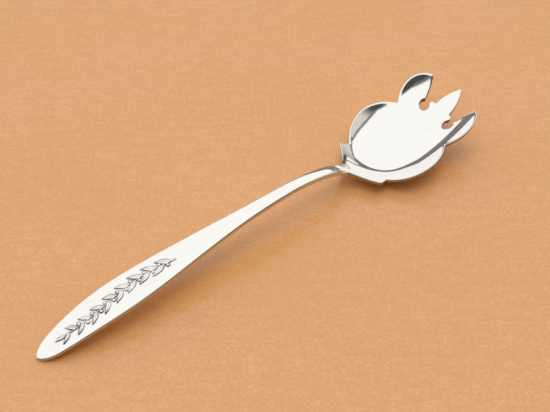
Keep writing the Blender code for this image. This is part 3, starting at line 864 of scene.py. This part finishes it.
def silver_material(name, colour, side_shade, residue_and_shade=None):
    """Polished silver: a mirror with faint tarnish, fine scratches from use, painted shade on its sides and,
    if asked, dark marks: oxide in the sprig's recesses, painted shade along the bowl's fold.
    """
    made, tree, shader = new_material(name)
    place = add_node(tree, "ShaderNodeTexCoord").outputs["Object"]
    surface = mixed(tree, marked(tree, place, TARNISH), colour, TARNISH_COLOUR)
    side = add_node(tree, "ShaderNodeAttribute", attribute_name="side").outputs["Fac"]
    # painted shade: towards the rounded edges, by the side attribute, the metal takes the darker side shade
    surface = mixed(tree, side, surface, side_shade)
    roughness = marked(tree, place, ROUGHNESS)
    if residue_and_shade:
        # oxide in the sprig's recesses on the handle; painted shade along the fold on the bowl
        oxide = residue_and_shade(tree, place)
        surface = mixed(tree, oxide, surface, OXIDE_AND_SHADE_COLOUR)
        roughness = math_node(tree, "ADD", roughness, ramp(tree, oxide, 0.0, 1.0, 0.0, OXIDE_AND_SHADE_ROUGHNESS))
    tree.links.new(surface, shader.inputs["Base Color"])
    tree.links.new(roughness, shader.inputs["Roughness"])
    along, across = noise(tree, place, *SCRATCHES_ALONG), noise(tree, place, *SCRATCHES_ACROSS)
    scratches = math_node(tree, "ADD", along, across)
    depths = {"Height": scratches, "Strength": SCRATCH_STRENGTH, "Distance": SCRATCH_DEPTH}
    tree.links.new(add_node(tree, "ShaderNodeBump", depths).outputs[0], shader.inputs["Normal"])
    shader.inputs["Metallic"].default_value = 1.0
    return made


def table_material():
    """Varnished wood: a broad figure, streaks and a fine grain, all drawn out across the picture."""
    made, tree, shader = new_material("table")
    place = add_node(tree, "ShaderNodeTexCoord").outputs["Object"]
    figure = marked(tree, place, TABLE_FIGURE, -VIEW_AZIMUTH)
    streaks = marked(tree, place, TABLE_STREAKS, -VIEW_AZIMUTH)
    grain = marked(tree, place, TABLE_GRAIN, -VIEW_AZIMUTH)
    surface = mixed(tree, figure, TABLE_COLOUR, TABLE_FIGURE_COLOUR)
    surface = mixed(tree, streaks, surface, TABLE_GRAIN_COLOUR)
    surface = mixed(tree, grain, surface, TABLE_GRAIN_COLOUR)
    tree.links.new(surface, shader.inputs["Base Color"])
    shader.inputs["Roughness"].default_value = VARNISH_ROUGHNESS
    shader.inputs["IOR"].default_value = VARNISH_IOR
    return made


def add_table():
    """Top of the table, under the spork."""
    half = TABLE_HALF_SIZE
    mesh = bpy.data.meshes.new("table")
    corners = [(-half, -half, 0.0), (half, -half, 0.0), (half, half, 0.0), (-half, half, 0.0)]
    mesh.from_pydata(corners, [], [(0, 1, 2, 3)])
    mesh.materials.append(table_material())
    table = bpy.data.objects.new("table", mesh)
    bpy.context.scene.collection.objects.link(table)


def add_light():
    """World with the panel, its rim and the room round them; the camera itself sees a plain colour."""
    world = bpy.data.worlds.new("studio")
    world.use_nodes = True
    bpy.context.scene.world = world
    tree = world.node_tree
    heading = add_node(tree, "ShaderNodeTexCoord").outputs["Generated"]

    def along(axis):
        """Cosine of the angle between a ray and an axis."""
        made = add_node(tree, "ShaderNodeVectorMath", {0: heading, 1: axis}, operation="DOT_PRODUCT")
        return made.outputs["Value"]

    view = VIEW_AZIMUTH
    ahead = along((math.sin(view), math.cos(view), 0.0))
    right = along((math.cos(view), -math.sin(view), 0.0))
    above = along((0.0, 0.0, 1.0))
    lean, upright = math.sin(PANEL_LEAN), math.cos(PANEL_LEAN)
    along_axis = along((lean * math.sin(view), lean * math.cos(view), upright))
    along_panel = along((upright * math.sin(view), upright * math.cos(view), -lean))
    depth = math_node(tree, "MAXIMUM", along_axis, LEAST_COSINE)
    slopes = [math_node(tree, "DIVIDE", part, depth) for part in (right, along_panel)]

    def inside_panel(with_rim):
        """1 inside the panel, or inside its rim, and 0 outside, with a soft edge of one angle all round."""
        gaps = []
        for turn, distance, breadth in PANEL_SIDES:
            to_right = math_node(tree, "MULTIPLY", slopes[0], -math.sin(turn))
            to_side = math_node(tree, "MULTIPLY_ADD", slopes[1], math.cos(turn), to_right)
            limit = distance + breadth if with_rim else distance
            gaps.append(math_node(tree, "SUBTRACT", to_side, limit))
        widest = reduce(lambda gap, other: math_node(tree, "MAXIMUM", gap, other), gaps)
        angle = math_node(tree, "MULTIPLY", widest, math_node(tree, "POWER", depth, SLOPE_TO_ANGLE))
        return ramp(tree, angle, -EDGE_BLUR, EDGE_BLUR, 1.0, 0.0)

    right_wall = mixed(tree, ramp(tree, above, FOOT_FROM, FOOT_TO), RIGHT_WALL_FOOT, RIGHT_WALL)
    room = mixed(tree, ramp(tree, right, RIGHT_FROM, RIGHT_TO), LEFT_WALL, right_wall)
    room = mixed(tree, ramp(tree, ahead, UNLIT_TO, UNLIT_FROM, 1.0, 0.0), room, UNLIT_ROOM)
    rimmed = mixed(tree, inside_panel(True), room, RIM_LIGHT)
    lit = mixed(tree, inside_panel(False), rimmed, PANEL_LIGHT)
    camera_sees = add_node(tree, "ShaderNodeLightPath").outputs["Is Camera Ray"]
    tree.links.new(mixed(tree, camera_sees, lit, BACKGROUND), tree.nodes["Background"].inputs["Color"])


def add_key():
    """Soft lamp overhead, for the shadows on the table; the silver does not mirror it."""
    lamp = bpy.data.lights.new("key", "AREA")
    lamp.shape = "DISK"
    lamp.size = KEY_SIZE
    lamp.energy = KEY_POWER
    lamp.color = KEY_COLOUR
    key = bpy.data.objects.new("key", lamp)
    key.visible_glossy = False
    key.location = KEY_PLACE
    key.rotation_euler = (VIEW_TARGET - KEY_PLACE).to_track_quat("-Z", "Y").to_euler()
    bpy.context.scene.collection.objects.link(key)


def add_camera():
    """Camera at the photograph's viewing angle."""
    level = math.cos(VIEW_ELEVATION)
    look = Vector(
        (level * math.sin(VIEW_AZIMUTH), level * math.cos(VIEW_AZIMUTH), -math.sin(VIEW_ELEVATION))
    )
    lens = bpy.data.cameras.new("camera")
    lens.lens = LENS
    lens.sensor_width = SENSOR_WIDTH
    lens.clip_start = MM
    camera = bpy.data.objects.new("camera", lens)
    camera.location = VIEW_TARGET - VIEW_DISTANCE * look
    camera.rotation_euler = look.to_track_quat("-Z", "Y").to_euler()
    bpy.context.scene.collection.objects.link(camera)
    bpy.context.scene.camera = camera


add_camera()
handle_silver = silver_material("handle_silver", SILVER_COLOUR, HANDLE_SIDE_SHADE, sprig_residue)
bowl_silver = silver_material("bowl_silver", SILVER_COLOUR, BOWL_SIDE_SHADE, fold_painted_shade)
solder = silver_material("solder_silver", SOLDER_COLOUR, HANDLE_SIDE_SHADE)
add_piece(handle_mesh(), handle_silver, "handle")
add_piece(bowl_mesh(), bowl_silver, "bowl")
add_piece(solder_mesh(), solder, "solder_seam")
add_table()
add_light()
add_key()
bpy.context.scene.view_settings.view_transform = "Standard"
